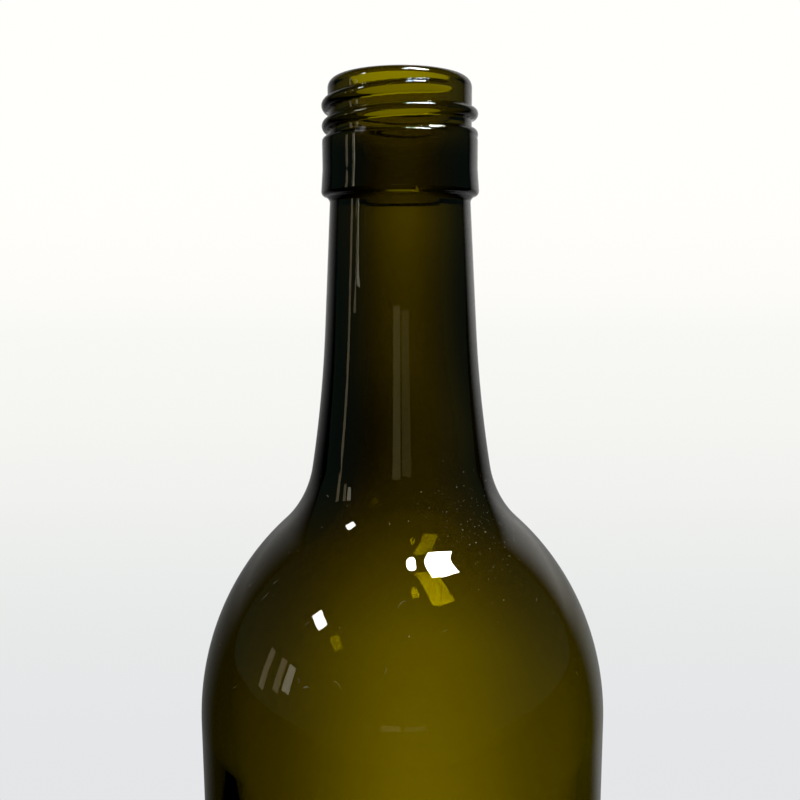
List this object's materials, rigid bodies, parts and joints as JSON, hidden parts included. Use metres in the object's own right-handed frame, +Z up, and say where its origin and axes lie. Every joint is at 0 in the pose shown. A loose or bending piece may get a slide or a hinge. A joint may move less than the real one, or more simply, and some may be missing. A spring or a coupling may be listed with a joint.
{
  "type": "wine bottle",
  "caption": "Empty claret-shaped wine bottle of olive-green glass with a bare screw-thread finish, a collar, a long round shoulder and a punt.",
  "frame": {"origin": "middle of the ring the bottle stands on, at the bottom of its bounding box", "axes": "+Z up the bottle along its axis, -Y towards the viewer's side"},
  "size_m": [0.0798, 0.0798, 0.2792],
  "materials": {
    "olive_glass": "moulded, fire-polished, see-through olive green"
  },
  "bodies": {
    "root": {"bottle": "olive_glass"}
  },
  "joints": []
}
